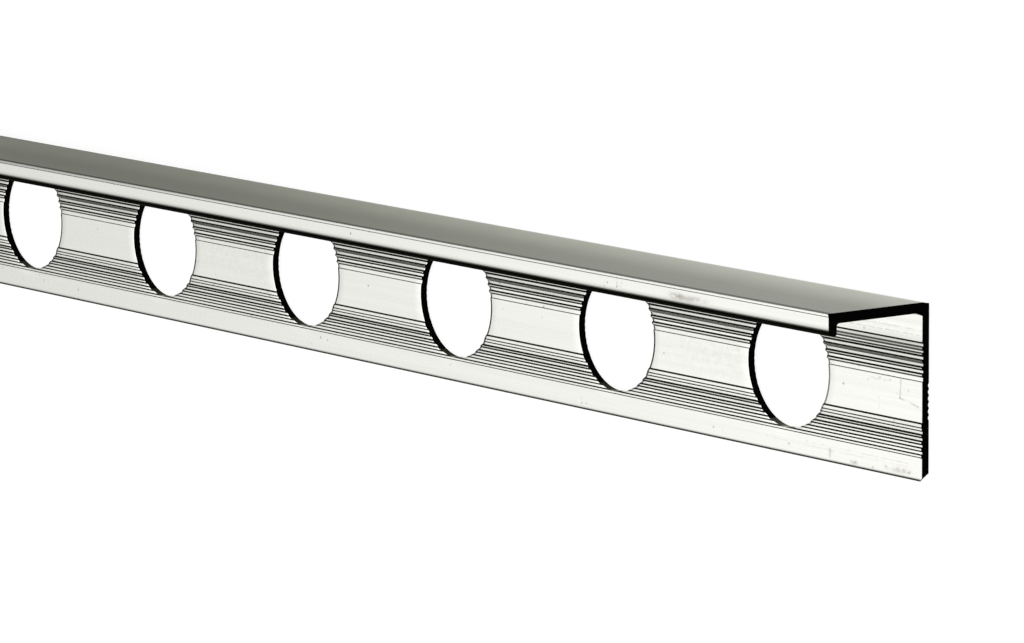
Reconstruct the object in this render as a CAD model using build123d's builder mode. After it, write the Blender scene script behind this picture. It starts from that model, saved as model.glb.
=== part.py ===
# Tile edge trim: one extruded aluminium profile with a punched anchoring leg.
import os
from math import floor

from build123d import *

os.makedirs("parts", exist_ok=True)

# Stock size, in millimetres
trim_length = 1000.0
trim_width = 17.25  # the anchoring leg, from the web's outer face to its free edge
trim_height = 12.5  # the web, from the leg's underside to the lip's face

# Walls of the section
leg_wall = 0.85
web_wall = 1.0
lip_wall = 1.05
lip_reach = 2.25  # from the web's outer face to the lip's free edge

# Corners of the section
lip_corner_radius = 0.4
lip_front_radius = 0.7  # the lip's free edge, on the face side
lip_root_fillet = 0.3
back_corner_chamfer = 0.15
back_corner_run = 0.9  # how far that slope runs up the web
root_gusset_height = 0.85
root_gusset_width = 0.3
edge_bevel_run = 0.6  # the leg's free edge, sloping under
edge_land = 0.25  # what stays upright above that slope

# Round holes punched along the leg
hole_diameter = 12.1
hole_pitch = 26.9
first_hole = 19.7  # from the cut end at +X to the first hole's centre
hole_offset = 8.7  # from the web's outer face to the row of holes

# Bonding grooves along the leg, placed by their steep sides, from the web's outer face
groove_pitch = 0.65
groove_depth = 0.14
upper_group_start = 4.3
upper_group_count = 6
lower_group_start = 12.05
lower_group_count = 5

# Derived places and radii, with the web's outer face on the +Y side
outer_y = trim_width / 2
free_y = -trim_width / 2
hole_y = outer_y - hole_offset
hole_count = 1 + floor((trim_length - first_hole - hole_diameter / 2) / hole_pitch)
lip_back_radius = 0.85 * (lip_wall - lip_front_radius)
edge_radius = 0.85 * edge_land


def across(distance):
    """Section Y of a line this far from the web's outer face."""
    return outer_y - distance


def corner_near(sketch, y, z):
    """The section's corner nearest this place."""
    return sketch.vertices().sort_by_distance((y, z, 0))[0]


# Section of the profile, drawn in the YZ plane and run both ways along X
with BuildPart() as edge_trim:
    with BuildSketch(Plane.YZ) as section:
        # One closed outline: underside, free edge, leg top, web, lip and back again
        with BuildLine() as outline:
            Polyline(
                (outer_y, back_corner_run),
                (outer_y - back_corner_chamfer, 0),
                (free_y + edge_bevel_run, 0),
                (free_y, leg_wall - edge_land),
                (free_y, leg_wall),
                (across(web_wall + root_gusset_width), leg_wall),
                (across(web_wall), leg_wall + root_gusset_height),
                (across(web_wall), trim_height - lip_wall),
                (across(lip_reach), trim_height - lip_wall),
                (across(lip_reach), trim_height),
                (outer_y, trim_height),
                close=True,
            )
        make_face()
        # Rounded corners: the lip's outer corner, both sides of its free edge, its root, the leg's edge
        for y, z, radius in (
            (outer_y, trim_height, lip_corner_radius),
            (across(lip_reach), trim_height, lip_front_radius),
            (across(lip_reach), trim_height - lip_wall, lip_back_radius),
            (across(web_wall), trim_height - lip_wall, lip_root_fillet),
            (free_y, leg_wall, edge_radius),
        ):
            fillet(corner_near(section, y, z), radius)
        # Sawtooth grooves in the leg's upper face, in two groups either side of a smooth band.
        # Each slopes down from the crest before it and ends at a steep side that faces the web.
        upper_lines = [across(upper_group_start + groove_pitch * i) for i in range(upper_group_count)]
        lower_lines = [across(lower_group_start + groove_pitch * i) for i in range(lower_group_count)]
        for groove_y in upper_lines + lower_lines:
            with BuildLine():
                Polyline(
                    (groove_y, leg_wall),
                    (groove_y, leg_wall - groove_depth),
                    (groove_y + groove_pitch, leg_wall),
                    close=True,
                )
            make_face(mode=Mode.SUBTRACT)
    extrude(amount=trim_length / 2, both=True)

    # Row of holes punched through the leg, counted from the cut end at +X
    hole_places = [(trim_length / 2 - first_hole - hole_pitch * i, hole_y) for i in range(hole_count)]
    with BuildSketch(Plane.XY.offset(leg_wall)) as punched:
        with Locations(*hole_places):
            Circle(hole_diameter / 2)
    extrude(amount=-leg_wall, mode=Mode.SUBTRACT)

edge_trim.part.label = "edge_trim"
export_step(edge_trim.part, "parts/edge_trim.step")
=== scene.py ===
import math

import bmesh
import bpy
from mathutils import Matrix, Vector


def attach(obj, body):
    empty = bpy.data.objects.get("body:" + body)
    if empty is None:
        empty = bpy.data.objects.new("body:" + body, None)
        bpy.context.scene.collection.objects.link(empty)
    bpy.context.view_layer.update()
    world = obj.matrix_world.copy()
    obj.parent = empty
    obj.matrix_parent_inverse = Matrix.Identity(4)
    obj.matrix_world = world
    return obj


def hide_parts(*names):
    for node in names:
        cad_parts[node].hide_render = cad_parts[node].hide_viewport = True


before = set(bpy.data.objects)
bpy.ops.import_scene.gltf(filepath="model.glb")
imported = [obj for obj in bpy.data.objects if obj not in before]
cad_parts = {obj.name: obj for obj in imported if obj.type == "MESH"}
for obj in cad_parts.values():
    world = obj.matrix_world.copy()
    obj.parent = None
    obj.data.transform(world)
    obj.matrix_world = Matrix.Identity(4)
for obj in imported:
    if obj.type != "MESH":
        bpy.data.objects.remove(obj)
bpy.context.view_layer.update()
print("frame loaded")

scene = bpy.context.scene
scene.view_settings.view_transform = "Standard"

perMetre = 1000  # the trim is drawn in millimetres and scaled at the end

# how near counts as the same place, in millimetres
cutNear = 1e-5
vertNear = 1e-4
edgeNear = 1e-3
faceNear = 0.01

noZero = 1e-9  # keeps a divisor off zero
flatAngle = math.radians(0.05)  # facets that meet within this merge


# small helpers

def newVerts(made):
    return [g for g in made["geom"] if isinstance(g, bmesh.types.BMVert)]


def newFaces(made):
    return [g for g in made["geom"] if isinstance(g, bmesh.types.BMFace)]


def allGeometry(bm):
    return bm.verts[:] + bm.edges[:] + bm.faces[:]


# faces with their edges and vertices, in a fixed order
def regionOf(faces):
    edges = dict.fromkeys(e for f in faces for e in f.edges)
    verts = dict.fromkeys(v for f in faces for v in f.verts)
    return list(faces) + list(edges) + list(verts)


def cutAt(bm, geometry, axis, value):
    place = [0, 0, 0]
    normal = [0, 0, 0]
    place[axis] = value
    normal[axis] = 1
    bmesh.ops.bisect_plane(bm, geom=geometry, dist=cutNear, plane_co=place, plane_no=normal)


def mergeFlat(bm):
    bmesh.ops.dissolve_limit(bm, angle_limit=flatAngle, verts=bm.verts[:], edges=bm.edges[:])


def ramp(value, low, high):
    return min(1.0, max(0.0, (value - low) / (high - low)))


# trim: one extruded section with a row of punched holes

trimSize = {
    "length": 1000.0,
    "width": 17.25,
    "height": 12.5,
    "legWall": 0.85,
    "webWall": 1.0,
    "lipWall": 1.05,
    "lipReach": 2.25,
    # radius and segments of the rounded edges
    "cornerRound": (0.12, 6),  # lip's outer corner
    "tipRound": (0.70, 10),  # lip's free edge, face side
    "tipBackRound": (0.33, 5),
    "lipRootRound": (0.3, 5),
    "edgeRound": (0.12, 4),  # leg's free edge
    "beadLine": 0.30,  # fine line that sets the corner's bead off from the lip's face
    "beadHalf": 0.042,
    "beadDrop": 0.035,
    "rootRise": 0.85,  # thicker root where the web leaves the leg
    "rootRun": 0.3,
    "edgeRun": 0.6,  # the free edge slopes under
    "edgeLand": 0.28,  # what stays upright above that slope
    "edgeBand": 16.0,  # no line of the leg lies past this
    "backRun": 0.9,  # the outer corner at the floor eases in
    "backDrop": 0.15,
    "holeRadius": 6.05,
    "holePitch": 26.9,
    "firstHole": 19.82,
    "holeOffset": 8.7,
    "holeCount": 37,
    "holeSides": 96,
    "rimEase": 0.06,  # how much wider the hole opens on top, at its +X side
    "rimTuck": 0.14,  # how much less it opens there at its -Y side
    "tuckRange": (-1.2, 0.6),  # where the tuck sets in, along X
    "tuckCurve": (0.25, 4),  # powers of its growth along X and toward -Y
    "rimRun": 0.27,  # edge rolled in by the punch, least at its -X side
    "rollShare": (0.6, 0.4),  # its share at the hole's middle, and what the +X side adds
    "rimDrop": 0.03,
    "rimNear": 0.02,  # how far past the rim a vertex still counts as on it
    "rimKeep": 0.1,  # how far past the rim an end cell keeps its shape
    "underShare": 0.25,  # depth left of the underside's grooves at a hole
    "cutSkew": 0.12,  # the saw cut at +X runs back by this much at the web
    "cutRound": 0.14,  # and a little more at the lip's outer corner
    "cutZone": 0.3,  # this near to it, down and across
    "cutProud": 0.04,  # the lip's face stands out by this
    "cutBreak": 0.30,  # the leg's free corner there is eased over this length
    "cutCorner": 0.17,  # moved in by this at the floor
    "cutLand": (0.38, 0.10),  # moved in and up by this at the slope's top
    "cutWide": 0.1,  # the corner reaches this far past the slope
    "cutSqueeze": (0.5, 0.36),  # what lies above it is drawn in: so far from the edge, to this share
}

# each flank of the lines on the leg's face: place from the web's outer face, width, climb, darkness; the
# darkness is painted shade
legSteps = [
    (3.90, 0.20, -0.10, 1.0),
    (4.29, 0.15, 0.14, 0.69), (4.585, 0.22, -0.14, 0.66),
    (4.885, 0.15, 0.15, 0.82), (5.13, 0.25, -0.15, 1.0),
    (5.55, 0.15, 0.16, 1.0), (5.72, 0.18, -0.08, 0.6), (5.86, 0.10, -0.08, 0.32),
    (6.21, 0.165, 0.16, 1.0), (6.47, 0.21, -0.16, 0.96),
    (6.86, 0.16, 0.16, 1.0), (7.14, 0.19, -0.14, 0.86),
    (7.635, 0.08, 0.08, 0.37),
    (11.62, 0.165, 0.10, 1.0), (12.03, 0.14, -0.05, 0.9), (12.345, 0.15, -0.10, 0.9),
    (12.70, 0.175, 0.14, 1.0), (12.95, 0.21, -0.12, 0.95),
    (13.325, 0.155, 0.14, 1.0), (13.615, 0.205, -0.14, 1.0),
    (13.96, 0.135, 0.13, 1.0), (14.28, 0.175, -0.12, 1.0),
    (14.63, 0.125, 0.12, 1.0), (14.91, 0.125, -0.10, 0.87),
]

# tops between two flanks painted grey as shade: from, to, darkness
greyTops = [
    (3.98, 4.24, 0.10), (4.36, 4.51, 0.39), (5.24, 5.49, 0.20), (5.78, 5.82, 0.4),
    (5.90, 6.14, 0.22), (6.28, 6.37, 0.2), (6.93, 7.07, 0.05), (13.05, 13.26, 0.08),
]

# lip's and leg's faces are painted darker toward their free edges, as shade: from here on, darkness
lipFade = [(1.15, 0.04), (1.25, 0.10), (1.35, 0.22), (1.45, 0.45)]
legFade = [(16.82, 0.05), (16.92, 0.20), (17.00, 0.65), (17.06, 1.0)]

# grooves in the underside
underGrooves = {"first": 8.03, "pitch": 0.624, "count": 6, "mouth": 0.50, "floor": 0.18, "depth": 0.10}

outerY = trimSize["width"] / 2
longEnough = 0.9 * trimSize["length"]


def across(distance):
    return outerY - distance


def legRise(y):
    s = outerY - y
    return sum(rise * ramp(s, place - width / 2, place + width / 2) for place, width, rise, dark in legSteps)


def underRise(y):
    g = underGrooves
    rise = 0.0
    for i in range(g["count"]):
        gap = abs(across(g["first"] + g["pitch"] * i) - y)
        rise += g["depth"] * ramp(g["mouth"] / 2 - gap, 0, (g["mouth"] - g["floor"]) / 2)
    return rise


def lineCuts():
    g = underGrooves
    cuts = [across(place + side * width / 2) for place, width, rise, dark in legSteps for side in (-1, 1)]
    for i in range(g["count"]):
        middle = across(g["first"] + g["pitch"] * i)
        cuts += [middle + side * g[part] / 2 for part in ("mouth", "floor") for side in (-1, 1)]
    return sorted({round(cut, 4) for cut in cuts})


def rimGrowth(size, x, y):
    alongX, towardY = size["tuckCurve"]
    toEnd = max(0.0, x / size["holeRadius"])
    toEdge = max(0.0, -y / size["holeRadius"]) * ramp(x, *size["tuckRange"]) ** alongX
    return 1 + (size["rimEase"] * toEnd - size["rimTuck"] * toEdge ** towardY) / size["holeRadius"]


def ringCell(bm, size):
    radius = size["holeRadius"]
    beside, more = size["rollShare"]
    centre = Vector((0, across(size["holeOffset"]), size["legWall"]))
    circle = bmesh.ops.create_circle(bm, segments=size["holeSides"], radius=radius, cap_ends=False)
    rim = circle["verts"]
    bmesh.ops.translate(bm, verts=rim, vec=centre - Vector((0, 0, size["rimDrop"])))
    lip = newVerts(bmesh.ops.extrude_edge_only(bm, edges=bm.edges[:]))
    for v in rim + lip:
        fromY = v.co.y - centre.y
        grow = rimGrowth(size, v.co.x, fromY)
        if v in lip:
            grow += size["rimRun"] * (beside + more * v.co.x / radius) / radius
        v.co = Vector((v.co.x * grow, centre.y + fromY * grow, centre.z if v in lip else v.co.z))
    lipEdges = [e for e in bm.edges if e.verts[0] in lip and e.verts[1] in lip]
    border = newVerts(bmesh.ops.extrude_edge_only(bm, edges=lipEdges))
    halfX = size["holePitch"] / 2
    highY = across(size["webWall"] + size["rootRun"]) - centre.y
    lowY = outerY + centre.y
    for v in border:  # grown straight out to the cell's four sides
        d = v.co - centre
        reachX = halfX / max(abs(d.x), noZero)
        reachY = (highY if d.y > 0 else lowY) / max(abs(d.y), noZero)
        reach = min(reachX, reachY)
        v.co = centre + Vector((d.x * reach, d.y * reach, 0))
    for cornerX in (-halfX, halfX):
        for cornerY in (-lowY, highY):
            corner = centre + Vector((cornerX, cornerY, 0))
            min(border, key=lambda v: (v.co - corner).length).co = corner


def shapeLeg(bm, size):
    radius = size["holeRadius"]
    landZ = size["legWall"] - size["edgeLand"]
    holeY = across(size["holeOffset"])
    for y in lineCuts():
        cutAt(bm, allGeometry(bm), 1, y)
    cutAt(bm, allGeometry(bm), 2, landZ)
    for v in bm.verts:
        if v.co.z > landZ + vertNear:
            v.co.z += legRise(v.co.y)
        elif v.co.z < vertNear:
            fromY = v.co.y - holeY
            away = math.hypot(v.co.x, fromY)
            onRim = away < radius * rimGrowth(size, v.co.x, fromY) + size["rimNear"]
            v.co.z = underRise(v.co.y) * (size["underShare"] if onRim else 1.0)
            if onRim:
                shrink = radius / away
                v.co.x *= shrink
                v.co.y = holeY + fromY * shrink
            if v.co.y < vertNear - outerY:
                v.co.y += size["edgeRun"]


# the two end cells stretch or shrink to the cut ends
def fitEndCells(bm, size, first):
    halfX = size["holePitch"] / 2
    last = first - size["holePitch"] * (size["holeCount"] - 1)
    clear = size["holeRadius"] + size["rimEase"] + size["rimRun"] + size["rimKeep"]
    for hole, side in ((first, 1), (last, -1)):
        share = (size["length"] / 2 - side * hole - clear) / (halfX - clear)
        for v in bm.verts:
            beyond = side * (v.co.x - hole) - clear
            if beyond > 0:
                v.co.x = hole + side * (clear + beyond * share)


def legRow(bm, size):
    ringCell(bm, size)
    for v in newVerts(bmesh.ops.extrude_face_region(bm, geom=bm.faces[:])):
        v.co.z = 0.0
    shapeLeg(bm, size)
    halfX = size["holePitch"] / 2
    ends = [f for f in bm.faces if all(abs(abs(v.co.x) - halfX) < vertNear for v in f.verts)]
    bmesh.ops.delete(bm, geom=ends, context="FACES")
    mergeFlat(bm)
    bmesh.ops.recalc_face_normals(bm, faces=bm.faces[:])
    cell = allGeometry(bm)
    first = size["length"] / 2 - size["firstHole"]
    for n in range(1, size["holeCount"]):
        copy = bmesh.ops.duplicate(bm, geom=cell)
        bmesh.ops.translate(bm, verts=newVerts(copy), vec=(-size["holePitch"] * n, 0, 0))
    bmesh.ops.translate(bm, verts=bm.verts[:], vec=(first, 0, 0))
    bmesh.ops.remove_doubles(bm, verts=bm.verts[:], dist=vertNear)
    fitEndCells(bm, size, first)
    bmesh.ops.holes_fill(bm, edges=[e for e in bm.edges if e.is_boundary], sides=0)
    mergeFlat(bm)


def pullOut(bm, faces, place):
    moved = newFaces(bmesh.ops.extrude_face_region(bm, geom=regionOf(faces)))
    for v in {v for f in moved for v in f.verts}:
        place(v.co)
    return moved


def facesAt(bm, axis, value, above=-1.0):
    def onPlane(v):
        return abs(v.co[axis] - value) < vertNear and v.co.z > above

    return [f for f in bm.faces if all(onPlane(v) for v in f.verts)]


def webAndLip(bm, size):
    innerY = across(size["webWall"])
    low = size["height"] - size["lipWall"]
    level = size["legWall"] + size["rootRise"]

    def toRoot(co):
        co.y = innerY
        if co.z > size["legWall"] - vertNear:
            co.z = level

    def toFace(co):
        co.y = outerY

    def toTip(co):
        co.y = across(size["lipReach"])

    root = pullOut(bm, facesAt(bm, 1, across(size["webWall"] + size["rootRun"])), toRoot)
    pullOut(bm, root, toFace)
    for nextLevel in (low, size["height"]):
        def toLevel(co):
            co.z = nextLevel
        pullOut(bm, facesAt(bm, 2, level), toLevel)
        level = nextLevel
    pullOut(bm, facesAt(bm, 1, innerY, low - vertNear), toTip)
    mergeFlat(bm)


# the web's outer face eases in where it meets the floor
def easeBack(bm, size):
    cutAt(bm, allGeometry(bm), 2, size["backRun"])
    for v in bm.verts:
        if v.co.z < vertNear and v.co.y > outerY - vertNear:
            v.co.y -= size["backDrop"]


def roundEdge(bm, y, z, radius, segments):
    def onLine(v):
        return abs(v.co.y - y) < edgeNear and abs(v.co.z - z) < edgeNear

    edges = []
    for e in bm.edges:
        a, b = e.verts
        if abs(a.co.x - b.co.x) > longEnough and onLine(a) and onLine(b):
            edges.append(e)
    bmesh.ops.bevel(bm, geom=edges, offset=radius, offset_type="OFFSET", segments=segments, profile=0.5,
                    affect="EDGES", material=-1)
    return len(edges)


def roundEdges(bm, size):
    top = size["height"]
    low = top - size["lipWall"]
    tip = across(size["lipReach"])
    return sum((
        roundEdge(bm, outerY, top, *size["cornerRound"]),
        roundEdge(bm, tip, top, *size["tipRound"]),
        roundEdge(bm, tip, low, *size["tipBackRound"]),
        roundEdge(bm, across(size["webWall"]), low, *size["lipRootRound"]),
        roundEdge(bm, -outerY, size["legWall"], *size["edgeRound"]),
    ))


def levelFaces(bm, chosen):
    return [f for f in bm.faces if f.normal.z > 0.99 and chosen(f.calc_center_median())]


def scoreFaces(bm, size):
    middle = across(size["beadLine"])
    half = size["beadHalf"]
    top = size["height"]
    for y in [middle - half, middle, middle + half] + [across(place) for place, dark in lipFade]:
        cutAt(bm, regionOf(levelFaces(bm, lambda c: c.z > top - faceNear)), 1, y)
    for v in bm.verts:
        if v.co.z > top - vertNear and abs(v.co.y - middle) < vertNear:
            v.co.z -= size["beadDrop"]
    for place, dark in legFade:
        cutAt(bm, regionOf(levelFaces(bm, lambda c: c.y < across(size["edgeBand"]))), 1, across(place))


def easeCut(bm, size):
    endX = size["length"] / 2
    cornerY = size["edgeRun"] + size["cutWide"] - outerY
    cornerZ = size["legWall"] - size["edgeLand"] + faceNear
    fixed = size["cutSqueeze"][0] - outerY
    cutAt(bm, allGeometry(bm), 0, endX - size["cutBreak"])
    for v in bm.verts:
        if v.co.x > endX - vertNear:
            v.co.x -= size["cutSkew"] * (outerY + v.co.y) / size["width"]
            if v.co.z > size["height"] - size["cutZone"]:
                away = ramp(v.co.y, outerY - size["cutZone"], outerY)
                v.co.x -= size["cutRound"] * away - size["cutProud"]
            if v.co.y < cornerY and v.co.z < cornerZ:
                onFloor = v.co.z < faceNear
                v.co.y += size["cutCorner"] if onFloor else size["cutLand"][0]
                v.co.z += 0.0 if onFloor else size["cutLand"][1]
            elif v.co.y < fixed:
                v.co.y = fixed + size["cutSqueeze"][1] * (v.co.y - fixed)


def trimMesh(size):
    bm = bmesh.new()
    legRow(bm, size)
    print("leg row", len(bm.faces), "faces")
    webAndLip(bm, size)
    easeBack(bm, size)
    rounded = roundEdges(bm, size)
    scoreFaces(bm, size)
    easeCut(bm, size)
    bmesh.ops.recalc_face_normals(bm, faces=bm.faces[:])
    if bm.calc_volume(signed=True) < 0:
        bmesh.ops.reverse_faces(bm, faces=bm.faces[:])
    loose = sum(not e.is_manifold for e in bm.edges)
    print("rounded edges", rounded, "open edges", loose, "volume", round(bm.calc_volume(signed=True), 1))
    return bm


# order of the materials on the trim
slots = {"satin": 0, "wallShade": 1, "lipEdgeShade": 2, "webFace": 3, "holeFoot": 4}

# how the kinds of face are told apart
faceLimits = {
    "square": 0.9,  # normal of a face that looks straight along its axis
    "endNear": 0.3,  # sawn end's distance from the true end
    "wallTilt": 0.3,  # a hole's wall
    "wallEdge": 1.0,  # its least distance from the free edge
    "wallWeb": 0.5,  # and from the web
    "lipTurn": -0.2,  # lip's free edge
    "webLow": 0.05,  # web's outer face starts here
    "legAbove": 0.2,  # the leg's relief rises to this over its face
    "legUp": 0.1,  # its faces look up by at least this
    "legFrom": 1.4,  # and lie past the web's root
    "lipBelow": 0.8,  # the lip's rounding reaches down to this
    "lipUp": 0.05,
    "flat": 0.05,  # tilt under which a face of the leg is a top
}

# painted shade on the small faces that no flank or fade gives, kept with the mesh for the finish:
# from and to as parts of the normal
shadeValues = {
    "holeRim": (0.02, 0.13),
    "rimShare": (0.6, 1.1),  # at the first hole, and at the others
    "holeFoot": (0.029, 0.011),  # likewise: how fast the hole's wall turns from painted shade to a painted pale highlight where it faces the web
    "lipCorner": (0.70, 0.90),
    "lipTip": (0.0, 0.085),
    "freeEdge": (0.0, 0.15),
}


def holeWall(f, size, limits):
    c = f.calc_center_median()
    inside = limits["wallEdge"] - outerY < c.y < across(size["webWall"]) - limits["wallWeb"]
    return abs(f.normal.z) < limits["wallTilt"] and 0 <= c.z <= size["legWall"] and inside


def facesToSlots(bm, size, limits):
    low = size["height"] - size["lipWall"]
    for f in bm.faces:
        n = f.normal
        c = f.calc_center_median()
        # the sawn end and the hole walls that face away from the web take a near-black painted shade; walls
        # that face the web take painted shade and a painted pale highlight
        if abs(n.x) > limits["square"] and abs(abs(c.x) - size["length"] / 2) < limits["endNear"]:
            f.material_index = slots["wallShade"]
        elif holeWall(f, size, limits):
            f.material_index = slots["wallShade"] if n.y < limits["square"] else slots["holeFoot"]
        # the lip's free edge takes a near-black painted shade
        elif c.z > low - faceNear and c.y < across(size["webWall"]) and n.y < limits["lipTurn"]:
            f.material_index = slots["lipEdgeShade"]
        elif n.y > limits["square"] and c.z > limits["webLow"]:
            f.material_index = slots["webFace"]


def flankShade(s, tilt, limits):
    if tilt < limits["flat"]:
        return max([dark for first, last, dark in greyTops if first < s < last], default=0.0)
    return max([dark for place, width, rise, dark in legSteps if abs(s - place) < width / 2], default=0.0)


def fadeShade(s, fades):
    return max([dark for place, dark in fades if s > place], default=0.0)


def shadeRelief(bm, size, limits, values):
    layer = bm.faces.layers.float.new("reliefShade")
    firstCell = size["length"] / 2 - size["firstHole"] - size["holePitch"] / 2
    for f in bm.faces:
        n = f.normal
        c = f.calc_center_median()
        s = outerY - c.y
        which = 0 if c.x > firstCell else 1
        onLeg = c.z < size["legWall"] + limits["legAbove"] and s > limits["legFrom"]
        if holeWall(f, size, limits):
            f[layer] = 1 - min(1.0, values["holeFoot"][which] / max(abs(n.x), noZero))
        elif onLeg and n.z > limits["legUp"]:
            if s < size["edgeBand"]:
                shade = flankShade(s, abs(n.y), limits)
            else:
                shade = max(fadeShade(s, legFade), ramp(-n.y, *values["freeEdge"]))
            rim = values["rimShare"][which] * ramp(-n.x, *values["holeRim"])
            f[layer] = max(shade, min(1.0, rim))
        elif c.z > size["height"] - limits["lipBelow"] and n.z > limits["lipUp"]:
            corner = ramp(n.y, *values["lipCorner"])
            tip = ramp(-n.y, *values["lipTip"])
            f[layer] = max(corner, tip, fadeShade(s, lipFade))


def buildTrim():
    bm = trimMesh(trimSize)
    facesToSlots(bm, trimSize, faceLimits)
    shadeRelief(bm, trimSize, faceLimits, shadeValues)
    bmesh.ops.scale(bm, vec=(1 / perMetre, 1 / perMetre, 1 / perMetre), verts=bm.verts[:])
    mesh = bpy.data.meshes.new("trimProfile")
    bm.to_mesh(mesh)
    bm.free()
    mesh.validate()
    trim = bpy.data.objects.new("trimProfile", mesh)
    scene.collection.objects.link(trim)
    return trim


# finishes

def feed(tree, socket, value):
    if isinstance(value, bpy.types.NodeSocket):
        tree.links.new(value, socket)
    elif socket.type == "RGBA":
        socket.default_value = (*value, 1)
    else:
        socket.default_value = value


def addNode(tree, kind, place=(0, 0), inputs=None, **values):
    node = tree.nodes.new(kind)
    node.location = place
    for name, value in values.items():
        setattr(node, name, value)
    for name, value in (inputs or {}).items():
        feed(tree, node.inputs[name], value)
    return node


def surfaceBase(name):
    material = bpy.data.materials.new(name)
    material.use_nodes = True
    tree = material.node_tree
    tree.nodes.clear()
    output = addNode(tree, "ShaderNodeOutputMaterial", (900, 0))
    shader = addNode(tree, "ShaderNodeBsdfPrincipled", (600, 0))
    tree.links.new(shader.outputs["BSDF"], output.inputs["Surface"])
    return material, tree, shader


# a group that gives masks: name, kind and default of each input, name of each output
def newGroup(name, inputs, outputs):
    tree = bpy.data.node_groups.new(name, "ShaderNodeTree")
    for socket, kind, value in inputs:
        made = tree.interface.new_socket(socket, in_out="INPUT", socket_type="NodeSocket" + kind)
        if value is not None:
            made.default_value = value
    for socket in outputs:
        tree.interface.new_socket(socket, in_out="OUTPUT", socket_type="NodeSocketFloat")
    given = addNode(tree, "NodeGroupInput", (-1100, 0))
    result = addNode(tree, "NodeGroupOutput", (600, 0))
    return tree, given, result


def objectPlace(tree, place):
    return addNode(tree, "ShaderNodeTexCoord", place).outputs["Object"]


def objectAxes(tree, place):
    x, y = place
    where = objectPlace(tree, (x - 200, y))
    return addNode(tree, "ShaderNodeSeparateXYZ", place, {"Vector": where}).outputs


def mixColour(tree, place, factor, first, second):
    inputs = {0: factor, 6: first, 7: second}
    return addNode(tree, "ShaderNodeMix", place, inputs, data_type="RGBA").outputs[2]


def mathNode(tree, place, operation, *values):
    return addNode(tree, "ShaderNodeMath", place, dict(enumerate(values)), operation=operation).outputs[0]


def vectorNode(tree, place, operation, *values):
    node = addNode(tree, "ShaderNodeVectorMath", place, dict(enumerate(values)), operation=operation)
    return node.outputs["Value" if operation in ("LENGTH", "DOT_PRODUCT") else "Vector"]


def mapRange(tree, place, value, fromMin, fromMax, toMin=0.0, toMax=1.0, smooth=True):
    kind = "SMOOTHSTEP" if smooth else "LINEAR"
    inputs = {"Value": value, "From Min": fromMin, "From Max": fromMax, "To Min": toMin, "To Max": toMax}
    return addNode(tree, "ShaderNodeMapRange", place, inputs, interpolation_type=kind).outputs["Result"]


dieValues = {
    "lineScale": 2200.0,
    "lineStretch": (0.008, 1.0, 1.0),
    "lineDetail": 4.0,
    "lineRoughness": 0.6,
    "lineRange": (0.3, 0.7),
    "cloudScale": 140.0,
    "cloudDetail": 5.0,
    "cloudRange": (0.3, 0.7),
    "pitScale": 900.0,
    "pitReach": (0.06, 0.18),
    "pitCloud": (0.52, 0.66),  # pits show only where the cloud is this dense
}


# fine lines left by the die along the length, and small pits, for every metal face
def dieLinesGroup(values):
    inputs = (("Line Scale", "Float", values["lineScale"]), ("Pit Scale", "Float", values["pitScale"]))
    tree, given, result = newGroup("dieLines", inputs, ("Lines", "Cloud", "Pits"))
    place = objectPlace(tree, (-900, 250))
    stretch = addNode(tree, "ShaderNodeMapping", (-650, 250), {
        "Vector": place,
        "Scale": values["lineStretch"],
    })
    lines = addNode(tree, "ShaderNodeTexNoise", (-400, 250), {
        "Vector": stretch.outputs["Vector"],
        "Scale": given.outputs["Line Scale"],
        "Detail": values["lineDetail"],
        "Roughness": values["lineRoughness"],
    }).outputs["Fac"]
    cloud = addNode(tree, "ShaderNodeTexNoise", (-400, 0), {
        "Vector": place,
        "Scale": values["cloudScale"],
        "Detail": values["cloudDetail"],
    }).outputs["Fac"]
    pits = addNode(tree, "ShaderNodeTexVoronoi", (-400, -250), {
        "Vector": place,
        "Scale": given.outputs["Pit Scale"],
    }).outputs["Distance"]
    near = mapRange(tree, (0, -250), pits, *values["pitReach"], 1.0, 0.0)
    rare = mapRange(tree, (0, -450), cloud, *values["pitCloud"])
    feed(tree, result.inputs["Lines"], mapRange(tree, (0, 250), lines, *values["lineRange"]))
    feed(tree, result.inputs["Cloud"], mapRange(tree, (0, 0), cloud, *values["cloudRange"]))
    feed(tree, result.inputs["Pits"], mathNode(tree, (250, -300), "MULTIPLY", near, rare))
    return tree


markValues = {
    "fade": (0.2, 1.0),  # as a share of the mark's reach
    "grainScale": 1400.0,
    "grainDetail": 3.0,
    "grainRange": (0.36, 0.66),
}


# one soft patch: a mark left by handling, broken up by a grain, or a plain patch, also used as painted shade
def markAndShadePatchGroup(values):
    inputs = (("Middle", "Vector", None), ("Reach", "Vector", None))
    tree, given, result = newGroup("markAndShadePatch", inputs, ("Mark", "PlainPatch"))
    place = objectPlace(tree, (-900, 250))
    offset = vectorNode(tree, (-650, 150), "SUBTRACT", place, given.outputs["Middle"])
    share = vectorNode(tree, (-450, 150), "DIVIDE", offset, given.outputs["Reach"])
    far = vectorNode(tree, (-250, 150), "LENGTH", share)
    patch = mapRange(tree, (-50, 150), far, *values["fade"], 1.0, 0.0)
    grain = addNode(tree, "ShaderNodeTexNoise", (-450, -150), {
        "Vector": place,
        "Scale": values["grainScale"],
        "Detail": values["grainDetail"],
    }).outputs["Fac"]
    broken = mapRange(tree, (-50, -150), grain, *values["grainRange"])
    feed(tree, result.inputs["Mark"], mathNode(tree, (250, 0), "MULTIPLY", patch, broken))
    feed(tree, result.inputs["PlainPatch"], patch)
    return tree


scratchValues = {
    "width": 0.0001,
    "swayScale": 1100.0,
    "sway": (0.0002, 0.0001, 0.0),
    "swayMiddle": (0.0001, 0.00005, 0.0),  # half the sway, so that the line stays in its place
    "fade": (0.25, 1.0),  # as a share of the width
    "wornRange": (0.35, 0.6),
}


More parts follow.
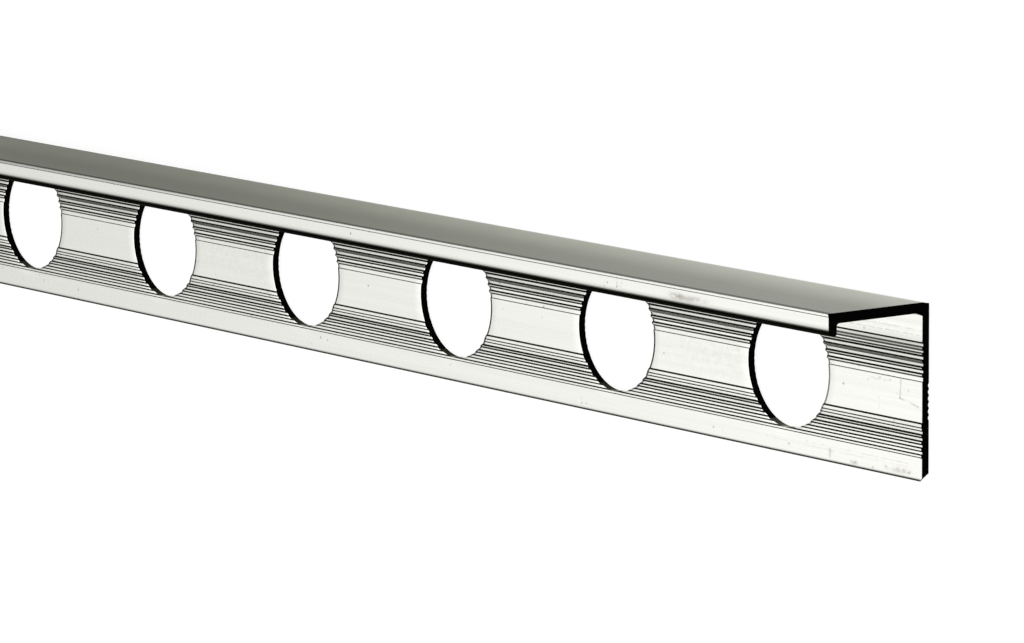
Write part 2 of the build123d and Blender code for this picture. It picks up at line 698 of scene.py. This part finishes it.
# one fine scratch that sways a little and is worn away in places
def scratchGroup(values):
    inputs = (("Start", "Vector", None), ("Along", "Vector", None), ("Width", "Float", values["width"]))
    tree, given, result = newGroup("fineScratch", inputs, ("Mark",))
    along = given.outputs["Along"]
    place = objectPlace(tree, (-1500, 250))
    sway = addNode(tree, "ShaderNodeTexNoise", (-1500, 0), {"Vector": place, "Scale": values["swayScale"]})
    moved = vectorNode(tree, (-1300, 100), "MULTIPLY_ADD", sway.outputs["Color"], values["sway"], place)
    start = vectorNode(tree, (-1100, 100), "ADD", given.outputs["Start"], values["swayMiddle"])
    offset = vectorNode(tree, (-900, 200), "SUBTRACT", moved, start)
    reached = vectorNode(tree, (-700, 200), "DOT_PRODUCT", offset, along)
    whole = vectorNode(tree, (-700, 0), "DOT_PRODUCT", along, along)
    share = mathNode(tree, (-500, 100), "DIVIDE", reached, whole)
    share = mathNode(tree, (-400, 0), "MAXIMUM", share, 0.0)
    share = mathNode(tree, (-350, 100), "MINIMUM", share, 1.0)
    step = addNode(tree, "ShaderNodeVectorMath", (-200, 0), {0: along, "Scale": share}, operation="SCALE")
    aside = vectorNode(tree, (-100, 200), "SUBTRACT", offset, step.outputs["Vector"])
    gap = vectorNode(tree, (-50, 100), "LENGTH", aside)
    beside = mathNode(tree, (150, 100), "DIVIDE", gap, given.outputs["Width"])
    line = mapRange(tree, (350, 100), beside, *values["fade"], 1.0, 0.0)
    worn = mapRange(tree, (350, -100), sway.outputs["Fac"], *values["wornRange"])
    feed(tree, result.inputs["Mark"], mathNode(tree, (450, 0), "MULTIPLY", line, worn))
    return tree


satinValues = {
    "bright": (0.92, 0.925, 0.87),
    "dark": (0.03, 0.03, 0.024),
    "lineTone": (0.86, 0.86, 0.82),
    "lineShare": 0.35,
    "pitTone": (0.45, 0.45, 0.42),
    "markTone": (0.42, 0.39, 0.34),
    "roughness": (0.20, 0.28),
    "sagReach": 0.0012,  # the punched leg dips toward each hole over this length, in metres
    "sagDepth": 0.00003,
    "sagCurve": 2.0,
    "sagTop": (0.002, 0.003),  # height over which the dip ends, so that the lip has none
    # middle, reach and strength of the soft marks, all in metres
    "smudges": [
        ((0.4772, 0.00772, 0.0125), (0.0018, 0.00042, 0.001), 0.65),
        ((0.4781, 0.00752, 0.0125), (0.0030, 0.00045, 0.001), 0.5),
        ((0.4806, 0.00764, 0.0125), (0.0030, 0.0004, 0.001), 0.35),
        ((0.4966, -0.0079, 0.00085), (0.0030, 0.00045, 0.001), 0.5),
        ((0.4901, -0.0081, 0.00085), (0.0009, 0.0003, 0.001), 0.7),
        ((0.4866, -0.0076, 0.00085), (0.0005, 0.0007, 0.001), 0.4),
        ((0.4938, 0.0005, 0.00085), (0.0020, 0.0003, 0.001), 0.25),
        ((0.4700, -0.0001, 0.00085), (0.0120, 0.0040, 0.001), 0.10),
        ((0.3920, -0.0001, 0.00085), (0.0200, 0.0040, 0.001), 0.08),
    ],
    # patches and specks without grain: the first three darken the leg near the cut end and the fourth the
    # lip's bead away from it, all painted shade; the rest are specks and the lip's blotch
    "shadesAndSpecks": [
        ((0.4960, 0.0043, 0.00085), (0.0140, 0.0013, 0.001), 0.23),
        ((0.5000, 0.0022, 0.00085), (0.0180, 0.0010, 0.001), 0.10),
        ((0.5000, -0.0037, 0.00085), (0.0180, 0.0012, 0.001), 0.10),
        ((0.3200, 0.00848, 0.0125), (0.1200, 0.0003, 0.003), 0.42),
        ((0.47700, 0.00778, 0.0125), (0.0006, 0.00022, 0.001), 0.20),
        ((0.47775, 0.00765, 0.0125), (0.0007, 0.00022, 0.001), 0.25),
        ((0.47840, 0.00752, 0.0125), (0.0006, 0.00020, 0.001), 0.18),
        ((0.4790, 0.00758, 0.0125), (0.0045, 0.0006, 0.001), 0.10),
        ((0.48850, -0.00063, 0.00085), (0.00026, 0.00018, 0.001), 0.50),
        ((0.49073, 0.00142, 0.00085), (0.00024, 0.00014, 0.001), 0.55),
        ((0.49385, 0.00070, 0.00085), (0.00022, 0.00014, 0.001), 0.35),
        ((0.49530, 0.00060, 0.00085), (0.00022, 0.00014, 0.001), 0.35),
        ((0.49210, 0.00027, 0.00085), (0.00022, 0.00014, 0.001), 0.25),
        ((0.48041, -0.00761, 0.00085), (0.00024, 0.00016, 0.001), 0.40),
        ((0.49289, -0.00819, 0.00085), (0.00026, 0.00014, 0.001), 0.40),
        ((0.49481, -0.00778, 0.00085), (0.00022, 0.00014, 0.001), 0.35),
        ((0.49815, -0.00799, 0.00085), (0.00030, 0.00016, 0.001), 0.40),
    ],
    # start, way, width and strength of the fine scratches
    "scratches": [
        ((0.49690, 0.00085, 0.00085), (-0.00013, -0.00179, 0), 0.00016, 0.28),
        ((0.49677, -0.00094, 0.00085), (0.00266, -0.00051, 0), 0.00016, 0.26),
        ((0.49373, -0.00125, 0.00085), (0, -0.00126, 0), 0.00012, 0.14),
        ((0.48655, -0.00720, 0.00085), (0, -0.00097, 0), 0.00014, 0.28),
        ((0.46815, 0.00832, 0.0125), (0.00002, -0.00085, 0), 0.00019, 0.60),
        ((0.46615, 0.00775, 0.0125), (0.00003, -0.00055, 0), 0.00017, 0.42),
        ((0.48300, -0.00700, 0.00085), (0.01500, -0.00010, 0), 0.00008, 0.18),
        ((0.47800, -0.00735, 0.00085), (0.02000, -0.00006, 0), 0.00007, 0.14),
        ((0.48600, 0.00540, 0.00085), (0.01380, 0, 0), 0.00009, 0.22),
        ((0.48600, 0.00590, 0.00085), (0.01380, 0, 0), 0.00008, 0.18),
    ],
}


# normal of the leg where it dips toward each hole
def holeSag(tree, size, values):
    radius = size["holeRadius"] / perMetre
    half = size["holePitch"] / 2 / perMetre
    firstX = (size["length"] / 2 - size["firstHole"]) / perMetre
    rowY = across(size["holeOffset"]) / perMetre
    axes = objectAxes(tree, (-1500, -500))
    fromFirst = mathNode(tree, (-1300, -400), "SUBTRACT", axes["X"], firstX)
    fromHole = mathNode(tree, (-1100, -400), "WRAP", fromFirst, half, -half)
    fromRow = mathNode(tree, (-1100, -600), "SUBTRACT", axes["Y"], rowY)
    spot = addNode(tree, "ShaderNodeCombineXYZ", (-900, -500), {"X": fromHole, "Y": fromRow})
    away = vectorNode(tree, (-700, -500), "LENGTH", spot.outputs["Vector"])
    near = mapRange(tree, (-500, -500), away, radius, radius + values["sagReach"], 1.0, 0.0, smooth=False)
    onLeg = mapRange(tree, (-500, -800), axes["Z"], *values["sagTop"], 1.0, 0.0)
    curve = mathNode(tree, (-400, -600), "POWER", near, values["sagCurve"])
    deep = mathNode(tree, (-300, -500), "MULTIPLY", curve, -values["sagDepth"])
    height = mathNode(tree, (-100, -500), "MULTIPLY", deep, onLeg)
    bump = addNode(tree, "ShaderNodeBump", (300, -500), {"Height": height, "Distance": 1.0})
    return bump.outputs["Normal"]


def softMarks(tree, colour, marks, group, output, tone, side):
    for row, (middle, reach, strength) in enumerate(marks):
        y = side * (500 + 200 * row)
        inputs = {"Middle": middle, "Reach": reach}
        spot = addNode(tree, "ShaderNodeGroup", (-400, y), inputs, node_tree=group)
        share = mathNode(tree, (-200, y), "MULTIPLY", spot.outputs[output], strength)
        colour = mixColour(tree, (0, y), share, colour, tone)
    return colour


def satinAluminium(values, dieLines, markAndShadePatch, fineScratch):
    material, tree, shader = surfaceBase("satinAluminium")
    fine = addNode(tree, "ShaderNodeGroup", (-900, 0), node_tree=dieLines)
    relief = addNode(tree, "ShaderNodeAttribute", (-900, -300), attribute_name="reliefShade")
    lines = mathNode(tree, (-650, 150), "MULTIPLY", fine.outputs["Lines"], values["lineShare"])
    colour = mixColour(tree, (-400, 200), lines, values["bright"], values["lineTone"])
    colour = mixColour(tree, (-200, 200), fine.outputs["Pits"], colour, values["pitTone"])
    colour = softMarks(tree, colour, values["smudges"], markAndShadePatch, "Mark", values["markTone"], 1)
    # plain patches darken the colour: painted shade, and real specks
    colour = softMarks(tree, colour, values["shadesAndSpecks"], markAndShadePatch, "PlainPatch", values["dark"], -1)
    for row, (start, way, width, strength) in enumerate(values["scratches"]):
        y = 500 + 200 * row
        inputs = {"Start": start, "Along": way, "Width": width}
        line = addNode(tree, "ShaderNodeGroup", (200, y), inputs, node_tree=fineScratch)
        share = mathNode(tree, (400, y), "MULTIPLY", line.outputs["Mark"], strength)
        colour = mixColour(tree, (600, y), share, colour, values["dark"])
    # painted shade: the mesh's reliefShade darkens the leg's flanks, grey tops, fades, hole rims and the
    # lip's corner and tip
    colour = mixColour(tree, (200, 200), relief.outputs["Fac"], colour, values["dark"])
    rough = mapRange(tree, (0, -100), fine.outputs["Lines"], 0, 1, *values["roughness"])
    tree.links.new(colour, shader.inputs["Base Color"])
    tree.links.new(rough, shader.inputs["Roughness"])
    tree.links.new(holeSag(tree, trimSize, values), shader.inputs["Normal"])
    shader.inputs["Metallic"].default_value = 1.0
    return material


# near-black painted shade of the sawn end and of the hole walls that face away from the web
wallShadeValues = {
    "deep": (0.0006, 0.0006, 0.0005),
    "worn": (0.002, 0.002, 0.0018),
    "turn": (0.5, 0, 0),
    "stretch": (1, 0.08, 1),
    "scale": 2600.0,
    "roughness": (0.7, 0.9),
}

# near-black painted shade of the lip's free edge
lipEdgeShadeValues = {
    "deep": (0.0008, 0.0009, 0.0003),
    "worn": (0.0025, 0.0028, 0.0010),
    "turn": (0, 0, 0),
    "stretch": (0.01, 1, 1),
    "scale": 1800.0,
    "roughness": (0.6, 0.8),
}

streakValues = {
    "detail": 5.0,
    "range": (0.35, 0.65),
}

dimSpecular = 0.01  # a dark face keeps hardly any shine


# a near-black face with fine streaks: painted shade, for the sawn end, the hole walls that face away from
# the web and the lip's free edge
def darkEdge(name, values):
    material, tree, shader = surfaceBase(name)
    turn = addNode(tree, "ShaderNodeMapping", (-700, 0), {
        "Vector": objectPlace(tree, (-900, 0)),
        "Rotation": values["turn"],
        "Scale": values["stretch"],
    })
    streaks = addNode(tree, "ShaderNodeTexNoise", (-500, 0), {
        "Vector": turn.outputs["Vector"],
        "Scale": values["scale"],
        "Detail": streakValues["detail"],
    })
    share = mapRange(tree, (-250, 0), streaks.outputs["Fac"], *streakValues["range"])
    colour = mixColour(tree, (0, 100), share, values["deep"], values["worn"])
    rough = mapRange(tree, (0, -150), share, 0, 1, *values["roughness"])
    tree.links.new(colour, shader.inputs["Base Color"])
    tree.links.new(rough, shader.inputs["Roughness"])
    shader.inputs["Specular IOR Level"].default_value = dimSpecular
    return material


# painted shade and painted pale highlight of the hole's wall where it faces the web
footValues = {
    "pale": (1.0, 1.0, 0.84),
    "dark": (0.008, 0.009, 0.001),
    "roughness": 0.7,
}


# the hole's wall where it faces the web: painted shade that turns to a painted pale highlight as the wall
# faces the web squarely
def holeFoot(values):
    material, tree, shader = surfaceBase("holeFoot")
    relief = addNode(tree, "ShaderNodeAttribute", (-600, 0), attribute_name="reliefShade")
    colour = mixColour(tree, (-300, 0), relief.outputs["Fac"], values["pale"], values["dark"])
    tree.links.new(colour, shader.inputs["Base Color"])
    shader.inputs["Roughness"].default_value = values["roughness"]
    shader.inputs["Specular IOR Level"].default_value = dimSpecular
    return material


# heights, and places along the strip, in metres. The web's outer face is painted with shade: darker upward,
# its foot darker toward the far end, and a dark line under the lip's corner
webValues = {
    "low": (0.70, 0.705, 0.645),
    "high": (0.52, 0.525, 0.475),
    "climb": (0.003, 0.0085),
    "footNear": (0.92, 0.92, 0.90),
    "footFar": (0.06, 0.065, 0.055),
    "footAlong": (0.310, 0.450),  # where far turns near, for the foot and the rim
    "footMetal": 0.15,  # how much of the foot still mirrors at the far end
    "footTop": (0.00082, 0.00098),  # the eased corner beside the floor
    "rimNear": (0.125, 0.13, 0.105),
    "rimFar": (0.062, 0.066, 0.052),
    "rimRange": (0.01178, 0.01212),  # the painted dark line of shade just under the lip's corner
    "cloud": (0.44, 0.445, 0.41),
    "cloudShare": 0.12,
    "tint": (0.66, 0.665, 0.63),
    "roughness": (0.34, 0.39),
}


# the web's outer face, its colour painted with shade by height and along the strip, with a faint cloud of
# tone
def webFace(values, dieLines):
    material, tree, shader = surfaceBase("webFace")
    fine = addNode(tree, "ShaderNodeGroup", (-900, -200), node_tree=dieLines)
    axes = objectAxes(tree, (-900, 200))
    climb = mapRange(tree, (-650, 200), axes["Z"], *values["climb"])
    onFoot = mapRange(tree, (-650, 400), axes["Z"], *values["footTop"], 1.0, 0.0)
    onRim = mapRange(tree, (-650, 600), axes["Z"], *values["rimRange"])
    nearEnd = mapRange(tree, (-650, 800), axes["X"], *values["footAlong"])
    farEnd = mathNode(tree, (-500, 1000), "SUBTRACT", 1.0, nearEnd)
    foot = mixColour(tree, (-400, 800), nearEnd, values["footFar"], values["footNear"])
    rim = mixColour(tree, (0, 600), nearEnd, values["rimFar"], values["rimNear"])
    veil = mathNode(tree, (-650, -200), "MULTIPLY", fine.outputs["Cloud"], values["cloudShare"])
    colour = mixColour(tree, (-400, 200), climb, values["low"], values["high"])
    colour = mixColour(tree, (-200, 200), veil, colour, values["cloud"])
    colour = mixColour(tree, (0, 200), onFoot, colour, foot)
    colour = mixColour(tree, (200, 200), onRim, colour, rim)
    # the foot is painted dark toward the far end, partly by taking away its mirror
    shadedFoot = mathNode(tree, (-400, 1000), "MULTIPLY", onFoot, farEnd)
    metal = mapRange(tree, (-200, 1000), shadedFoot, 0, 1, 1.0, values["footMetal"], smooth=False)
    rough = mapRange(tree, (0, -100), fine.outputs["Lines"], 0, 1, *values["roughness"])
    tree.links.new(colour, shader.inputs["Base Color"])
    tree.links.new(rough, shader.inputs["Roughness"])
    tree.links.new(metal, shader.inputs["Metallic"])
    shader.inputs["Specular IOR Level"].default_value = 0.0
    shader.inputs["Specular Tint"].default_value = (*values["tint"], 1)
    return material


trim = buildTrim()
dieLines = dieLinesGroup(dieValues)
markAndShadePatch = markAndShadePatchGroup(markValues)
fineScratch = scratchGroup(scratchValues)
finishes = [
    satinAluminium(satinValues, dieLines, markAndShadePatch, fineScratch),
    darkEdge("wallShadeEdge", wallShadeValues),
    darkEdge("lipEdgeShade", lipEdgeShadeValues),
    webFace(webValues, dieLines),
    holeFoot(footValues),
]
for material in finishes:
    trim.data.materials.append(material)
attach(trim, "root")
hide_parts("edge_trim")
print("trim built", len(trim.data.polygons), "faces")


# floor, light and camera

stageValues = {
    "floorRadius": 12.0,
    "floorDrop": 0.00003,  # the floor lies this much under the trim
    "floorColour": (0.30, 0.30, 0.30),
    "floorRoughness": 0.9,
    "floorGlow": 0.80,
    "mirrorShadeAlong": (0.35, 0.50, 0.22, 1.0),  # painted reflection: a grey patch in the floor's glow that only mirror rays see, mirrored by the web's face: from, to, level there
    "mirrorShadeTint": (0.93, 1.0, 0.86),  # its colour at the dark end
    "mirrorShadeAway": (0.0005, 0.003, 1.0, 0.60),  # and its level away from the web's foot
    "mirrorShadeStart": (-0.0001, 0.0003),
    "mirrorShadeEnd": (0.01, 0.06),  # where the painted patch gives way to the pale floor again
    "skyBright": 1.33,
    "skyDim": 0.12,
    "skyRange": (0.20, 0.82),  # height of the direction, where the dim sky turns bright
}


# the floor glows evenly for the camera; for mirror rays it holds a painted reflection, a grey patch beside
# the web's foot that darkens toward -X
def floorGlow(tree, values):
    axes = objectAxes(tree, (-1100, 0))
    away = mathNode(tree, (-900, -100), "SUBTRACT", axes["Y"], outerY / perMetre)
    along = mapRange(tree, (-700, 100), axes["X"], *values["mirrorShadeAlong"])
    deeper = mapRange(tree, (-700, -100), away, *values["mirrorShadeAway"])
    begins = mapRange(tree, (-700, -300), away, *values["mirrorShadeStart"])
    ends = mapRange(tree, (-700, -500), away, *values["mirrorShadeEnd"], 1.0, 0.0)
    level = mathNode(tree, (-500, 0), "MULTIPLY", along, deeper)
    share = mathNode(tree, (-500, -300), "MULTIPLY", begins, ends)
    mirrorShade = addNode(tree, "ShaderNodeMix", (-300, -100), {0: share, 2: 1.0, 3: level}, data_type="FLOAT")
    path = addNode(tree, "ShaderNodeLightPath", (-500, 300)).outputs
    mirrored = mathNode(tree, (-100, 0), "MULTIPLY", path["Is Glossy Ray"], mirrorShade.outputs[0])
    seen = mathNode(tree, (-100, 200), "MAXIMUM", path["Is Camera Ray"], path["Is Transmission Ray"])
    shown = mathNode(tree, (100, 100), "MAXIMUM", seen, mirrored)
    darkTo, darkFrom = values["mirrorShadeAlong"][:2]
    darkEnd = mapRange(tree, (-500, 500), axes["X"], darkFrom, darkTo)
    tinted = mathNode(tree, (-300, 500), "MULTIPLY", share, darkEnd)
    tinted = mathNode(tree, (-100, 500), "MULTIPLY", tinted, path["Is Glossy Ray"])
    colour = mixColour(tree, (100, 500), tinted, (1.0, 1.0, 1.0), values["mirrorShadeTint"])
    strength = mathNode(tree, (300, 100), "MULTIPLY", shown, values["floorGlow"])
    return colour, strength


def buildFloor(values):
    bm = bmesh.new()
    bmesh.ops.create_circle(bm, segments=64, radius=values["floorRadius"], cap_ends=True)
    bmesh.ops.translate(bm, verts=bm.verts[:], vec=(0, 0, -values["floorDrop"]))
    mesh = bpy.data.meshes.new("paleFloor")
    bm.to_mesh(mesh)
    bm.free()
    floor = bpy.data.objects.new("paleFloor", mesh)
    scene.collection.objects.link(floor)
    material, tree, shader = surfaceBase("paleFloor")
    colour, strength = floorGlow(tree, values)
    shader.inputs["Base Color"].default_value = (*values["floorColour"], 1)
    shader.inputs["Roughness"].default_value = values["floorRoughness"]
    shader.inputs["Specular IOR Level"].default_value = 0.0
    tree.links.new(colour, shader.inputs["Emission Color"])
    tree.links.new(strength, shader.inputs["Emission Strength"])
    mesh.materials.append(material)


def buildSky(values):
    world = bpy.data.worlds.new("studio")
    scene.world = world
    world.use_nodes = True
    tree = world.node_tree
    tree.nodes.clear()
    output = addNode(tree, "ShaderNodeOutputWorld", (900, 0))
    background = addNode(tree, "ShaderNodeBackground", (700, 0))
    background.inputs["Color"].default_value = (1, 1, 1, 1)
    place = addNode(tree, "ShaderNodeTexCoord", (-600, 0))
    axes = addNode(tree, "ShaderNodeSeparateXYZ", (-400, 0), {"Vector": place.outputs["Generated"]})
    levels = (*values["skyRange"], values["skyDim"], values["skyBright"])
    soft = mapRange(tree, (-200, 0), axes.outputs["Z"], *levels)
    tree.links.new(soft, background.inputs["Strength"])
    tree.links.new(background.outputs["Background"], output.inputs["Surface"])


cameraValues = {
    "eye": (0.927697, 0.095929, 0.376604),
    "look": (-0.784902, -0.154855, -0.599958),
    "up": (-0.121613, 0.987935, -0.095894),
    "focalPixels": 6092.9,
    "imageWidth": 1024,
    "sensorWidth": 36.0,
    "clip": (0.01, 100.0),
}


def buildCamera(values):
    data = bpy.data.cameras.new("photoCamera")
    data.sensor_fit = "HORIZONTAL"
    data.sensor_width = values["sensorWidth"]
    data.lens = values["focalPixels"] / values["imageWidth"] * values["sensorWidth"]
    data.clip_start, data.clip_end = values["clip"]
    camera = bpy.data.objects.new("photoCamera", data)
    scene.collection.objects.link(camera)
    back = -Vector(values["look"]).normalized()
    right = Vector(values["up"]).cross(back).normalized()
    up = back.cross(right)
    turn = Matrix((right, up, back)).transposed().to_4x4()
    camera.matrix_world = Matrix.Translation(Vector(values["eye"])) @ turn
    scene.camera = camera


buildFloor(stageValues)
buildSky(stageValues)
buildCamera(cameraValues)
print("stage built")
